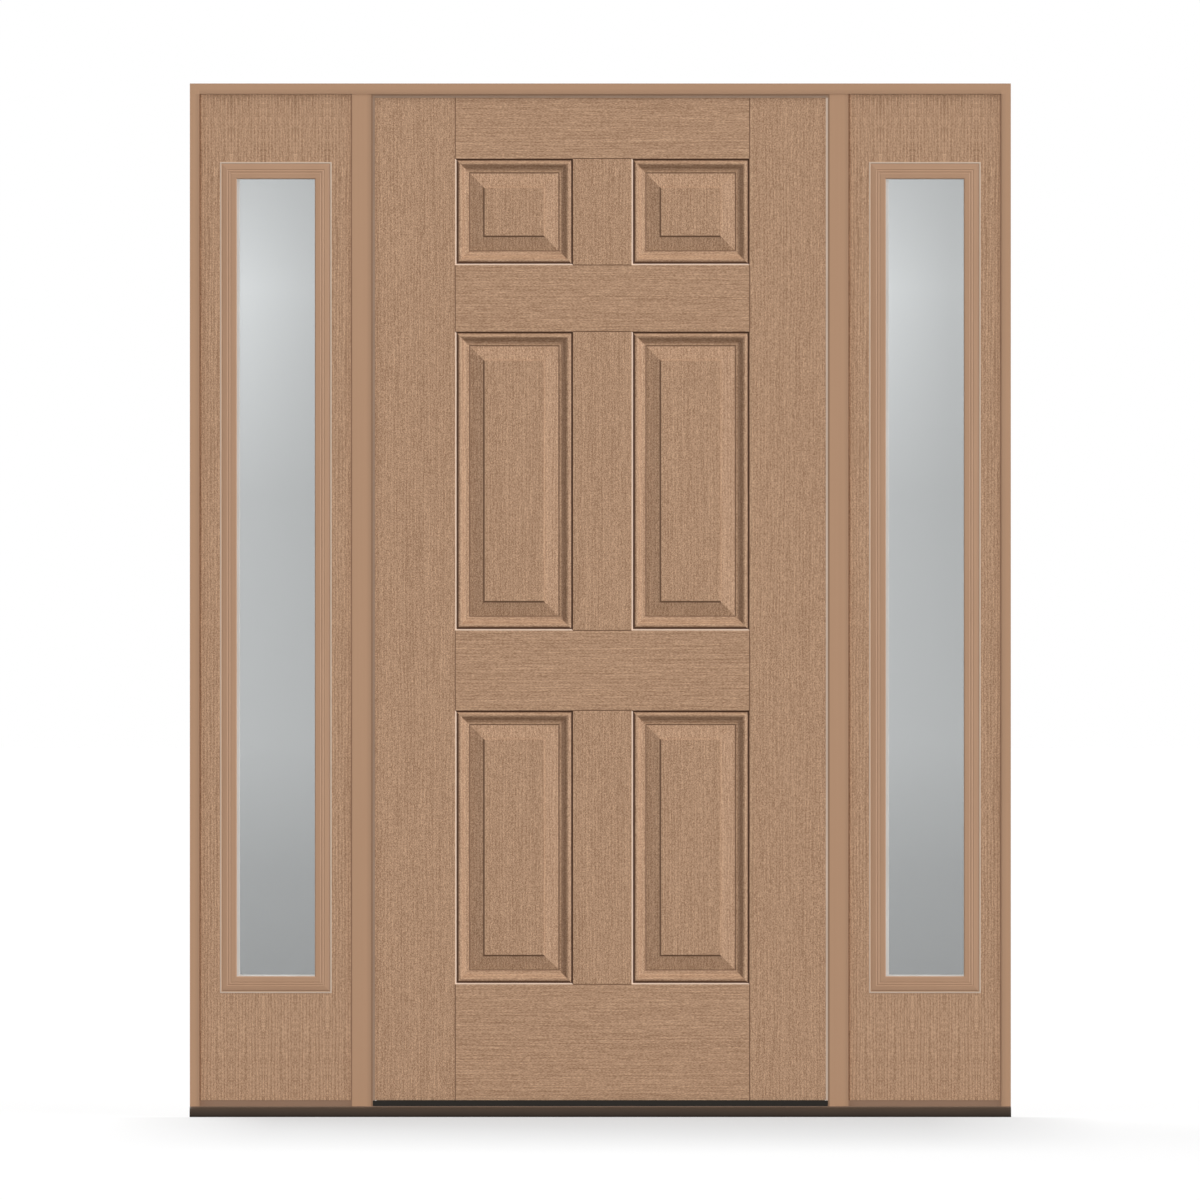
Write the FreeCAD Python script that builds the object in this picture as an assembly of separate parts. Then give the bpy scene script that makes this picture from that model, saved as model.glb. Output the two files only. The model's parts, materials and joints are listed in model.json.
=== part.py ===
import FreeCAD, Part
import os

# A six-panel entry door between two slim fixed sidelights, in one frame on one sill.
# +X runs to the right of someone outside, +Y runs into the house and +Z is up.
# The origin is the middle of the sill's underside. All sizes are in millimetres.

# Widths of the frame, from the middle outwards
DOOR_OPENING = 917.0
MULLION_WIDTH = 38.0
SIDELIGHT_OPENING = 305.5
JAMB_THICKNESS = 19.0

# Heights, from the floor up
SILL_HEIGHT = 21.0
BASE_HEIGHT = 11.8
LEAF_HEIGHT = 2007.7
HEAD_GAP = 5.0
HEAD_THICKNESS = 21.0

# Depths, from the inside face outwards
LEAF_THICKNESS = 44.5
STOP_GAP = 5.0
STOP_DEPTH = 2.5
STOP_SETBACK = 1.5
MULLION_SETBACK = 3.0
BASE_RECESS = 1.5

# Sill, with a sloping apron that ends in a rounded nose
SILL_NOSE = 30.0
NOSE_HEIGHT = 19.0
NOSE_RADIUS = 17.0

# Threshold under the leaf, with an upstand in front of the leaf
THRESHOLD_PLATE = 3.0
UPSTAND_DEPTH = 3.0
UPSTAND_CHAMFER = 1.0
THRESHOLD_BACK = 12.0
UPSTAND_GAP = 5.5
TOP_CLEARANCE = 0.5

# Leaf: gaps to the frame and thickness of its layers
HINGE_GAP = 5.0
LATCH_GAP = 6.5
SKIN_THICKNESS = 3.0
EDGE_WIDTH = 32.0
SWEEP_HEIGHT = 4.0
SWEEP_INSET = 1.5
SWEEP_END_INSET = 4.0

# Layout of the leaf's six panels; the panels' width and the middle row's height take up the rest
LATCH_STILE = 161.5
CENTRE_STILE = 117.0
HINGE_STILE = 155.0
BOTTOM_RAIL = 231.7
BOTTOM_PANEL = 548.0
LOCK_RAIL = 160.0
FRIEZE_RAIL = 133.0
TOP_PANEL = 213.0
TOP_RAIL = 124.0

# Section of a sunk panel: distance in from its outline and depth below the leaf's face.
# A quirk, a bead, an ovolo and a fillet lead down to the bevel of the raised field.
PANEL_SECTION = [
    (0.0, 0.0),
    (2.4, 3.6),
    (3.6, 4.2),
    (8.0, 1.2),
    (9.6, 0.7),
    (11.0, 1.0),
    (13.5, 2.6),
    (16.5, 5.6),
    (19.5, 8.4),
    (22.5, 10.0),
    (27.6, 11.0),
    (28.6, 12.2),
    (29.6, 12.2),
    (56.0, 5.2),
    (58.6, 2.4),
]
PAN_MARGIN = 3.0
PAN_FLOOR = 2.6

# Fine joint lines where stiles and rails meet
JOINT_LINE_WIDTH = 2.0
JOINT_LINE_DEPTH = 1.2

# Door stops and their soft seals
STOP_REACH = 3.3
SEAL_REACH = 7.5
SEAL_CLEARANCE = 1.0

# Sidelight panel and its glazed opening
PANEL_FIT = 0.5
PANEL_EASE = 1.6
LITE_SIDE_MARGIN = 41.0
LITE_BOTTOM_MARGIN = 214.2
LITE_TOP_MARGIN = 136.0
LITE_OVERLAP = 12.0
LITE_FIT = 0.5
PANE_THICKNESS = 4.0
PANE_PLAY = 2.5
SPACER_THICKNESS = 12.5
SPACER_WIDTH = 8.0

# Raised section of a lite frame: distance in from its outer edge and height over the panel
LITE_SECTION = [
    (0.0, 1.2),
    (0.5, 1.6),
    (2.8, 1.6),
    (3.6, 0.7),
    (4.8, 0.7),
    (6.4, 1.4),
    (14.2, 2.2),
    (15.8, 1.6),
    (17.6, 2.2),
    (19.4, 2.2),
    (21.0, 1.6),
    (22.8, 2.2),
    (31.4, 2.2),
    (32.6, 1.9),
    (33.5, 1.2),
]

# Three butt hinges on the inside, at the right-hand mullion
HINGE_HEIGHT = 101.6
HINGE_PLATE = 2.5
HINGE_PLATE_REACH = 32.0
KNUCKLE_RADIUS = 6.0
KNUCKLE_COUNT = 5
KNUCKLE_GAP = 0.3
KNUCKLE_STANDOFF = 0.5
PIN_RADIUS = 3.0
PIN_CLEARANCE = 0.08
PIN_TIP = 2.0
TOP_HINGE_DROP = 230.0
BOTTOM_HINGE_RISE = 280.0

# Places worked out from the sizes above
DOOR_HALF = DOOR_OPENING / 2
MULLION_OUTER = DOOR_HALF + MULLION_WIDTH
JAMB_INNER = MULLION_OUTER + SIDELIGHT_OPENING
UNIT_HALF = JAMB_INNER + JAMB_THICKNESS
LEAF_BOTTOM = SILL_HEIGHT + BASE_HEIGHT
LEAF_TOP = LEAF_BOTTOM + LEAF_HEIGHT
HEAD_BOTTOM = LEAF_TOP + HEAD_GAP
UNIT_HEIGHT = HEAD_BOTTOM + HEAD_THICKNESS
FRAME_DEPTH = LEAF_THICKNESS + STOP_GAP + STOP_DEPTH + STOP_SETBACK + MULLION_SETBACK
FRONT = -FRAME_DEPTH / 2
BACK = FRAME_DEPTH / 2
LEAF_FRONT = BACK - LEAF_THICKNESS
LEAF_LEFT = -DOOR_HALF + LATCH_GAP
LEAF_RIGHT = DOOR_HALF - HINGE_GAP
STOP_BACK = LEAF_FRONT - STOP_GAP
STOP_FRONT = STOP_BACK - STOP_DEPTH
UPSTAND_BACK = LEAF_FRONT - UPSTAND_GAP
UPSTAND_TOP = LEAF_BOTTOM - TOP_CLEARANCE
PIN_X = DOOR_HALF - HINGE_GAP / 2
PIN_Y = BACK + KNUCKLE_RADIUS + KNUCKLE_STANDOFF
PANEL_WIDTH = (LEAF_RIGHT - LEAF_LEFT - LATCH_STILE - CENTRE_STILE - HINGE_STILE) / 2
PANEL_ROWS = LEAF_HEIGHT - BOTTOM_RAIL - LOCK_RAIL - FRIEZE_RAIL - TOP_RAIL
MIDDLE_PANEL = PANEL_ROWS - BOTTOM_PANEL - TOP_PANEL
PANEL_SINK = max(depth for inset, depth in PANEL_SECTION)
PAN_DEPTH = PANEL_SINK + PAN_FLOOR
SIDELIGHT_CENTRE = MULLION_OUTER + SIDELIGHT_OPENING / 2
GLASS_FRONT = LEAF_FRONT + (LEAF_THICKNESS - SPACER_THICKNESS) / 2 - PANE_THICKNESS
GLASS_DEPTH = GLASS_FRONT - LEAF_FRONT
LITE_LEG = LITE_OVERLAP + LITE_FIT
LITE_BORDER = LITE_SECTION[-1][0]
GLASS_INSET = LITE_LEG + PANE_PLAY


def point(x, y, z):
    return FreeCAD.Vector(x, y, z)


def block(x, y, z):
    """A box between two limits along each axis."""
    return Part.makeBox(x[1] - x[0], y[1] - y[0], z[1] - z[0], point(x[0], y[0], z[0]))


def polygon_face(points):
    return Part.Face(Part.makePolygon(points + points[:1]))


def solid_of(faces):
    """A closed solid from the flat faces that bound it."""
    shell = Part.makeShell(faces)
    shell.sewShape()
    solid = Part.makeSolid(shell)
    if solid.Volume < 0:
        solid.reverse()
    return solid


def rectangle(x, z, inset, y):
    """The corners of an upright rectangle, drawn in by an inset."""
    left, right = x[0] + inset, x[1] - inset
    low, high = z[0] + inset, z[1] - inset
    return [point(left, y, low), point(right, y, low), point(right, y, high), point(left, y, high)]


def mitred_faces(loops):
    """Four mitred faces between each rectangle and the next."""
    faces = []
    for outer, inner in zip(loops, loops[1:]):
        for side in range(4):
            following = (side + 1) % 4
            faces.append(polygon_face([outer[side], outer[following], inner[following], inner[side]]))
    return faces


def mitred_ring(x, z, section, face_y, outward):
    """A four-sided frame with mitred corners; outward is -1 towards -Y and +1 towards +Y."""
    loops = [rectangle(x, z, inset, face_y + outward * height) for inset, height in section]
    return solid_of(mitred_faces(loops + loops[:1]))


def panel_sinking(x, z, face_y, outward):
    """The space that one moulded panel takes out of a leaf's face."""
    loops = [rectangle(x, z, 0.0, face_y + outward)]
    loops += [rectangle(x, z, inset, face_y - outward * depth) for inset, depth in PANEL_SECTION]
    return solid_of(mitred_faces(loops) + [polygon_face(loops[0]), polygon_face(loops[-1])])


def panel_places():
    """The limits in X and Z of the six panels."""
    right_panel = LEAF_RIGHT - HINGE_STILE
    columns = []
    for column in range(2):
        right = right_panel - column * (PANEL_WIDTH + CENTRE_STILE)
        columns.append((right - PANEL_WIDTH, right))
    low_row = LEAF_BOTTOM + BOTTOM_RAIL
    middle_row = low_row + BOTTOM_PANEL + LOCK_RAIL
    top_row = middle_row + MIDDLE_PANEL + FRIEZE_RAIL
    rows = [
        (low_row, low_row + BOTTOM_PANEL),
        (middle_row, middle_row + MIDDLE_PANEL),
        (top_row, top_row + TOP_PANEL),
    ]
    return columns, rows


def joint_line(start, end, face_y, outward):
    """A fine V-groove in a leaf's face, from one point (x, z) to another."""
    half = JOINT_LINE_WIDTH / 2
    upright = start[0] == end[0]
    side = (half, 0.0) if upright else (0.0, half)
    section = polygon_face([
        point(start[0] - side[0], face_y, start[1] - side[1]),
        point(start[0] + side[0], face_y, start[1] + side[1]),
        point(start[0], face_y - outward * JOINT_LINE_DEPTH, start[1]),
    ])
    return section.extrude(point(end[0] - start[0], 0.0, end[1] - start[1]))


def joint_lines(face_y, outward):
    """The lines between stiles and rails, and between rails and the centre stile."""
    columns, rows = panel_places()
    outer_edges = [columns[1][0], columns[0][1]]
    rail_limits = [LEAF_BOTTOM] + [limit for row in rows for limit in row] + [LEAF_TOP]
    lines = []
    for x in outer_edges:
        for low, high in zip(rail_limits[0::2], rail_limits[1::2]):
            lines.append(joint_line((x, low), (x, high), face_y, outward))
    for z in rail_limits[1:-1]:
        lines.append(joint_line((columns[1][1], z), (columns[0][0], z), face_y, outward))
    return lines


def pan_boxes(face_y, outward, margin):
    """The deeper parts of a skin behind its six panels."""
    columns, rows = panel_places()
    y = sorted((face_y, face_y - outward * PAN_DEPTH))
    boxes = []
    for column in columns:
        for row in rows:
            boxes.append(block((column[0] - margin, column[1] + margin), y, (row[0] - margin, row[1] + margin)))
    return boxes


def door_skin(face_y, outward):
    """One moulded face of the leaf, with six raised panels in mitred mouldings."""
    columns, rows = panel_places()
    y = sorted((face_y, face_y - outward * SKIN_THICKNESS))
    skin = block((LEAF_LEFT, LEAF_RIGHT), y, (LEAF_BOTTOM, LEAF_TOP))
    skin = skin.fuse(pan_boxes(face_y, outward, PAN_MARGIN)).removeSplitter()
    sinkings = [panel_sinking(column, row, face_y, outward) for column in columns for row in rows]
    return skin.cut(sinkings + joint_lines(face_y, outward))


def hinge_heights():
    """The middle of each hinge, from the top down."""
    top = LEAF_TOP - TOP_HINGE_DROP
    bottom = LEAF_BOTTOM + BOTTOM_HINGE_RISE
    return {"top": top, "middle": (top + bottom) / 2, "bottom": bottom}


def hinge_plate(height, mortise_x):
    """A plate let into the edge beside the gap, as far as the frame's inside face."""
    z = (height - HINGE_HEIGHT / 2, height + HINGE_HEIGHT / 2)
    return block(mortise_x, (BACK - HINGE_PLATE_REACH, BACK), z)


def knuckle_zones(height):
    """The limits in Z of a hinge's knuckles, from the bottom up."""
    pitch = HINGE_HEIGHT / KNUCKLE_COUNT
    bottom = height - HINGE_HEIGHT / 2
    zones = []
    for index in range(KNUCKLE_COUNT):
        low = bottom + index * pitch + KNUCKLE_GAP / 2
        zones.append((low, low + pitch - KNUCKLE_GAP))
    return zones


def hinge_half(height, mortise_x, zones):
    """A plate with its own knuckles, not yet bored."""
    half = hinge_plate(height, mortise_x)
    for zone in zones:
        barrel = Part.makeCylinder(KNUCKLE_RADIUS, zone[1] - zone[0], point(PIN_X, PIN_Y, zone[0]))
        web = block(mortise_x, (BACK, PIN_Y), zone)
        half = half.fuse([barrel, web])
    return half


def hinge_pin(height, radius):
    length = HINGE_HEIGHT + 2 * PIN_TIP
    return Part.makeCylinder(radius, length, point(PIN_X, PIN_Y, height - length / 2))


def make_hinges(frame_mortise, leaf_mortise):
    """Both halves of each hinge; the pin stays with the half on the frame."""
    nodes = {}
    for name, height in hinge_heights().items():
        zones = knuckle_zones(height)
        frame_half = hinge_half(height, frame_mortise, zones[0::2]).fuse(hinge_pin(height, PIN_RADIUS))
        leaf_half = hinge_half(height, leaf_mortise, zones[1::2])
        leaf_half = leaf_half.cut(hinge_pin(height, PIN_RADIUS + PIN_CLEARANCE))
        nodes["hinge_" + name + "_frame_half"] = frame_half.removeSplitter()
        nodes["hinge_" + name + "_door_half"] = leaf_half.removeSplitter()
    return nodes


def make_sill():
    """A flat bed under the frame, an apron sloping outwards and a rounded nose."""
    nose_front = FRONT - SILL_NOSE
    arc_end = point(-UNIT_HALF, nose_front, NOSE_HEIGHT - NOSE_RADIUS)
    arc_start = point(-UNIT_HALF, nose_front + NOSE_RADIUS, NOSE_HEIGHT)
    reach = NOSE_RADIUS * (1 - 0.5 ** 0.5)
    arc_middle = point(-UNIT_HALF, nose_front + reach, NOSE_HEIGHT - reach)
    corners = [
        arc_end,
        point(-UNIT_HALF, nose_front, 0.0),
        point(-UNIT_HALF, BACK, 0.0),
        point(-UNIT_HALF, BACK, SILL_HEIGHT),
        point(-UNIT_HALF, FRONT, SILL_HEIGHT),
        arc_start,
    ]
    edges = [Part.Arc(arc_start, arc_middle, arc_end).toShape()]
    edges += [Part.makeLine(start, end) for start, end in zip(corners, corners[1:])]
    return Part.Face(Part.Wire(edges)).extrude(point(2 * UNIT_HALF, 0.0, 0.0))


def make_threshold():
    """A plate between the stops, with an upstand that closes the slit below the leaf."""
    front = UPSTAND_BACK - UPSTAND_DEPTH
    outline = [
        (front, SILL_HEIGHT),
        (BACK - THRESHOLD_BACK, SILL_HEIGHT),
        (BACK - THRESHOLD_BACK, SILL_HEIGHT + THRESHOLD_PLATE),
        (UPSTAND_BACK, SILL_HEIGHT + THRESHOLD_PLATE),
        (UPSTAND_BACK, UPSTAND_TOP),
        (front + UPSTAND_CHAMFER, UPSTAND_TOP),
        (front, UPSTAND_TOP - UPSTAND_CHAMFER),
    ]
    half = DOOR_HALF - STOP_REACH
    section = polygon_face([point(-half, y, z) for y, z in outline])
    return section.extrude(point(2 * half, 0.0, 0.0))


def make_stops():
    """Stops on both mullions and under the head, each with a soft seal behind it."""
    nodes = {}
    seal_y = (STOP_BACK, LEAF_FRONT - SEAL_CLEARANCE)
    layers = {
        "stop": ((STOP_FRONT, STOP_BACK), STOP_REACH, SILL_HEIGHT),
        "seal": (seal_y, SEAL_REACH, UPSTAND_TOP),
    }
    for layer, (y, reach, foot) in layers.items():
        upright_z = (foot, HEAD_BOTTOM - reach)
        nodes["left_door_" + layer] = block((-DOOR_HALF, -DOOR_HALF + reach), y, upright_z)
        nodes["right_door_" + layer] = block((DOOR_HALF - reach, DOOR_HALF), y, upright_z)
        head_z = (HEAD_BOTTOM - reach, HEAD_BOTTOM)
        nodes["head_door_" + layer] = block((-DOOR_HALF, DOOR_HALF), y, head_z)
    return nodes


def make_frame():
    """Jambs, head and mullions; the right-hand mullion is mortised for the hinges."""
    nodes = {}
    mullion_z = (SILL_HEIGHT, HEAD_BOTTOM)
    for side, sign in (("left", -1), ("right", 1)):
        jamb_x = sorted((sign * JAMB_INNER, sign * UNIT_HALF))
        mullion_x = sorted((sign * DOOR_HALF, sign * MULLION_OUTER))
        nodes[side + "_jamb"] = block(jamb_x, (FRONT, BACK), (SILL_HEIGHT, UNIT_HEIGHT))
        nodes[side + "_mullion"] = block(mullion_x, (FRONT + MULLION_SETBACK, BACK), mullion_z)
    nodes["head_jamb"] = block((-JAMB_INNER, JAMB_INNER), (FRONT, BACK), (HEAD_BOTTOM, UNIT_HEIGHT))
    return nodes


def eased_board(x, y, z, ease):
    """An upright board with its four long edges eased."""
    outline = [
        (x[0] + ease, y[0]),
        (x[1] - ease, y[0]),
        (x[1], y[0] + ease),
        (x[1], y[1] - ease),
        (x[1] - ease, y[1]),
        (x[0] + ease, y[1]),
        (x[0], y[1] - ease),
        (x[0], y[0] + ease),
    ]
    section = polygon_face([point(along, depth, z[0]) for along, depth in outline])
    return section.extrude(point(0.0, 0.0, z[1] - z[0]))


def make_sidelight(side, centre):
    """One fixed sidelight: base, panel, two lite frames, a pair of panes and their spacer."""
    half = SIDELIGHT_OPENING / 2
    opening_x = (centre - half, centre + half)
    panel_x = (opening_x[0] + PANEL_FIT, opening_x[1] - PANEL_FIT)
    lite_x = (opening_x[0] + LITE_SIDE_MARGIN, opening_x[1] - LITE_SIDE_MARGIN)
    lite_z = (LEAF_BOTTOM + LITE_BOTTOM_MARGIN, HEAD_BOTTOM - LITE_TOP_MARGIN)
    cut_x = (lite_x[0] + LITE_OVERLAP, lite_x[1] - LITE_OVERLAP)
    cut_z = (lite_z[0] + LITE_OVERLAP, lite_z[1] - LITE_OVERLAP)
    glass_x = (lite_x[0] + GLASS_INSET, lite_x[1] - GLASS_INSET)
    glass_z = (lite_z[0] + GLASS_INSET, lite_z[1] - GLASS_INSET)
    base_z = (SILL_HEIGHT, LEAF_BOTTOM)
    panel_y = (LEAF_FRONT, BACK)
    spacer_y = (GLASS_FRONT + PANE_THICKNESS, GLASS_FRONT + PANE_THICKNESS + SPACER_THICKNESS)

    panel = eased_board(panel_x, panel_y, (LEAF_BOTTOM, HEAD_BOTTOM - PANEL_FIT), PANEL_EASE)
    panel = panel.cut(block(cut_x, panel_y, cut_z))

    rim = [(0.0, 0.0)] + LITE_SECTION
    leg = [(LITE_BORDER, -GLASS_DEPTH), (LITE_LEG, -GLASS_DEPTH), (LITE_LEG, 0.0)]

    panes = []
    for y in (GLASS_FRONT, spacer_y[1]):
        panes.append(block(glass_x, (y, y + PANE_THICKNESS), glass_z))
    spacer_section = [
        (0.0, 0.0),
        (0.0, -SPACER_THICKNESS),
        (SPACER_WIDTH, -SPACER_THICKNESS),
        (SPACER_WIDTH, 0.0),
    ]
    return {
        side + "_sidelight_base": block(opening_x, (LEAF_FRONT + BASE_RECESS, BACK), base_z),
        side + "_sidelight_panel": panel,
        side + "_lite_frame_outside": mitred_ring(lite_x, lite_z, rim + leg, LEAF_FRONT, -1),
        side + "_lite_frame_inside": mitred_ring(lite_x, lite_z, rim + leg, BACK, 1),
        side + "_glass_panes": Part.makeCompound(panes),
        side + "_glass_spacer": mitred_ring(glass_x, glass_z, spacer_section, spacer_y[0], -1),
    }


def make_leaf():
    """The leaf's two skins, its edges, its core and the sweep under it."""
    inner_y = (LEAF_FRONT + SKIN_THICKNESS, BACK - SKIN_THICKNESS)
    core_x = (LEAF_LEFT + EDGE_WIDTH, LEAF_RIGHT - EDGE_WIDTH)
    core_z = (LEAF_BOTTOM + EDGE_WIDTH, LEAF_TOP - EDGE_WIDTH)
    leaf_z = (LEAF_BOTTOM, LEAF_TOP)
    core = block(core_x, inner_y, core_z)
    core = core.cut(pan_boxes(LEAF_FRONT, -1, PAN_MARGIN) + pan_boxes(BACK, 1, PAN_MARGIN))
    sweep_x = (LEAF_LEFT + SWEEP_END_INSET, LEAF_RIGHT - SWEEP_END_INSET)
    sweep_y = (LEAF_FRONT + SWEEP_INSET, BACK - SWEEP_INSET)
    return {
        "door_outside_skin": door_skin(LEAF_FRONT, -1),
        "door_inside_skin": door_skin(BACK, 1),
        "door_latch_edge": block((LEAF_LEFT, core_x[0]), inner_y, leaf_z),
        "door_hinge_edge": block((core_x[1], LEAF_RIGHT), inner_y, leaf_z),
        "door_top_edge": block(core_x, inner_y, (core_z[1], LEAF_TOP)),
        "door_bottom_edge": block(core_x, inner_y, (LEAF_BOTTOM, core_z[0])),
        "door_core": core,
        "door_sweep": block(sweep_x, sweep_y, (LEAF_BOTTOM - SWEEP_HEIGHT, LEAF_BOTTOM)),
    }


def make_unit():
    """Every piece of the unit by name."""
    nodes = make_frame()
    nodes["sill"] = make_sill()
    nodes["threshold_cap"] = make_threshold()
    nodes.update(make_stops())
    nodes.update(make_sidelight("left", -SIDELIGHT_CENTRE))
    nodes.update(make_sidelight("right", SIDELIGHT_CENTRE))
    nodes.update(make_leaf())

    frame_mortise = (DOOR_HALF, DOOR_HALF + HINGE_PLATE)
    leaf_mortise = (LEAF_RIGHT - HINGE_PLATE, LEAF_RIGHT)
    nodes.update(make_hinges(frame_mortise, leaf_mortise))
    heights = hinge_heights().values()
    frame_pockets = [hinge_plate(height, frame_mortise) for height in heights]
    leaf_pockets = [hinge_plate(height, leaf_mortise) for height in heights]
    nodes["right_mullion"] = nodes["right_mullion"].cut(frame_pockets)
    for name in ("door_hinge_edge", "door_inside_skin"):
        nodes[name] = nodes[name].cut(leaf_pockets)
    return nodes


os.makedirs("parts", exist_ok=True)
for node_name, shape in make_unit().items():
    shape.exportStep("parts/" + node_name + ".step")
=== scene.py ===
import json
import math

import bmesh
import bpy
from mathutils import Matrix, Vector


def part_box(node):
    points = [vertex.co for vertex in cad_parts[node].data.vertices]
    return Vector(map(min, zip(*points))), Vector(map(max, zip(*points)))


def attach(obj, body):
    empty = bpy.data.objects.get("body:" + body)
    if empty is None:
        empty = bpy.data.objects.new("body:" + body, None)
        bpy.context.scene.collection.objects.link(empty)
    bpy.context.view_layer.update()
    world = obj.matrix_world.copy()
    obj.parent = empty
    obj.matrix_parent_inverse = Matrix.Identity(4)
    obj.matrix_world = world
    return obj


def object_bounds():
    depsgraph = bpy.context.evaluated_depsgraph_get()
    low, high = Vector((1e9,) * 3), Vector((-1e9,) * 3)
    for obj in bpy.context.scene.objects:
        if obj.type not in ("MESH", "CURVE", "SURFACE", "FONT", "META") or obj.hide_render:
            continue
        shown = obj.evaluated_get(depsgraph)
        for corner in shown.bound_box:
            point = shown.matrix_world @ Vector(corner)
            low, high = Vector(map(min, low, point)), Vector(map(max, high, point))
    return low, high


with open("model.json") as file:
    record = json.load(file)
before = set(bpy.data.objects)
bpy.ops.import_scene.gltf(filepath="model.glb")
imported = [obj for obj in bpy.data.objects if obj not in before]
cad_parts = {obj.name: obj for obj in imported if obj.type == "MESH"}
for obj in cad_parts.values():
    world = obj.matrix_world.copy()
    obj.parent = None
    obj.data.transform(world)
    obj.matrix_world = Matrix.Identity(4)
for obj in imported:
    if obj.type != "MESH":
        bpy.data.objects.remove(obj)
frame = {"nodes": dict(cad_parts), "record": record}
cad_low, cad_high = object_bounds()

# An entry door between two slim sidelights. Everything is in metres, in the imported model's frame:
# +X to the right of someone outside, +Y into the house, +Z up.

MM = 0.001
SIDES = ("left", "right")

# Layout of the leaf's moulded face, measured from the leaf's own edges
LATCH_STILE = 161.5 * MM
CENTRE_STILE = 117.0 * MM
HINGE_STILE = 155.0 * MM
BOTTOM_RAIL = 231.7 * MM
BOTTOM_PANEL = 548.0 * MM
LOCK_RAIL = 160.0 * MM
FRIEZE_RAIL = 133.0 * MM
TOP_PANEL = 213.0 * MM
TOP_RAIL = 124.0 * MM
JOINT_LINE = 2.0 * MM

# Lines of the panels' mouldings, as distances in from a panel's outline
ARRIS_END = 2.6 * MM
QUIRK_END = 7.0 * MM
SHADED_QUIRK_END = 4.0 * MM
SHADED_OVOLO = (13.0 * MM, 24.0 * MM)
FILLET_LINE = (27.4 * MM, 29.6 * MM)
STICKING_END = 29.0 * MM
FIELD_LINE = (55.8 * MM, 59.4 * MM)

# How strongly painted shade shows on the near bevels, in the fine lines, which also darken the joints, and on
# an ovolo's upright and level sides
BEVEL_SHADE = 0.10
LINE_SHADE_AND_JOINT = 0.9
UPRIGHT_OVOLO_SHADE = 0.44
LEVEL_OVOLO_SHADE = 0.28

# Lite frames: their reach over the glass, the pale bead of sealant round them and the groove beside it, with
# painted shade in it on the right and bottom
LITE_BORDER = 33.5 * MM
SEALANT_WIDTH = 2.8 * MM
LITE_GROOVE = (3.2 * MM, 7.0 * MM)
GROOVE_SHADE = 0.30

# Colours as linear RGB
SKIN_TAN = (0.408, 0.245, 0.147)
FRAME_TAN = (0.448, 0.267, 0.162)
LITE_TAN = (0.425, 0.252, 0.153)
SEALANT_PALE = (0.560, 0.440, 0.345)
EDGE_TAN = (0.365, 0.215, 0.130)
# Painted highlight for the near arrises; painted shade for quirks, bevels, ovolos, fine lines, the
# sidelights' right edges and the lite grooves, whose brown also darkens the joints
PAINTED_HIGHLIGHT_PALE = (0.720, 0.550, 0.430)
PAINTED_SHADE_DARK = (0.100, 0.048, 0.026)
SHADE_AND_JOINT_BROWN = (0.190, 0.105, 0.060)
# Painted shade: the sidelights' base strips are a darker copy of the frame paint
BASE_SHADED_BROWN = (0.272, 0.166, 0.108)
SILL_BRONZE = (0.052, 0.036, 0.026)
THRESHOLD_BLACK = (0.022, 0.019, 0.016)
# Door seals: a paler copy of the foam on the right as painted light, and a darker one on the left and head as
# painted shade
SEAL_LIT_PALE = (0.580, 0.455, 0.365)
SEAL_SHADED_BROWN = (0.340, 0.232, 0.165)
RUBBER_BLACK = (0.021, 0.018, 0.016)
GLAZING_GREY = (0.50, 0.49, 0.47)
SPACER_GREY = (0.50, 0.51, 0.52)
HINGE_STEEL = (0.42, 0.40, 0.37)
FOAM_CREAM = (0.76, 0.67, 0.43)
GLASS_CLEAR = (0.975, 0.985, 0.985)
WHITE = (1.0, 1.0, 1.0)

# Noise: how strongly its finer steps show, and how many of them there are
NOISE_ROUGHNESS = 0.55
PLAIN_DETAIL = 1.0
FINE_DETAIL = 2.0
PATCHY_DETAIL = 3.0

# Grain of the stained skins: width and length of its marks, finest first, and its darkest and palest tones
PORE_SIZE = (1.5 * MM, 2.6 * MM)
STREAK_SIZE = (2.0 * MM, 20.0 * MM)
LINE_SIZE = (2.6 * MM, 120.0 * MM)
BAND_SIZE = (16.0 * MM, 420.0 * MM)
GRAIN_DARK = (0.63, 0.57, 0.51)
GRAIN_PALE = (1.47, 1.57, 1.66)

# Combed lines of the grain, an even step apart, and how far they wander sideways
COMB_STEP = 6.6 * MM
COMB_WANDER = (11.0 * MM, 130.0 * MM)
COMB_SWING = 8.0 * MM

# The whole grain sways sideways; the tilt keeps flat faces off the noise's own grid, where it is weaker
SWAY_SIZE = (90.0 * MM, 260.0 * MM)
SWAY_SWING = 9.0 * MM
GRAIN_TILT = 0.6

# How strongly pores, streaks, lines, bands and combed lines show on each kind of piece
UPRIGHT_GRAIN = (2.6, 0.6, 0.55, 0.20, 0.15)
RAIL_GRAIN = (1.8, 0.76, 0.57, 0.12, 0.15)
SIDELIGHT_GRAIN = (2.2, 0.6, 0.60, 0.10, 0.27)
EDGE_GRAIN = (0.7, 0.7, 0.5, 0.3)

# Marks are longer on the rails, and their grain is cut from another slice of the noise
RAIL_STRETCH = 1.8
RAIL_SLICE = 3.0

# The sidelights' grain is matched like the pages of a book, about upright lines, with a thin painted shade
# line at one edge
MATCH_STEP = 64.0 * MM
MATCH_OFFSET = 25.0 * MM
PANEL_EDGE_REACH = 3.5 * MM

# Satin stain: relief of pores, streaks and lines, the bump's distance and strength, and its smoother streaks
STAIN_RELIEF = (0.4, 0.6, 0.2)
STAIN_BUMP = (0.35 * MM, 0.35)
STAIN_ROUGHNESS = 0.54
STAIN_SWING = -0.16
STAIN_GLOSS = 0.32

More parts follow.
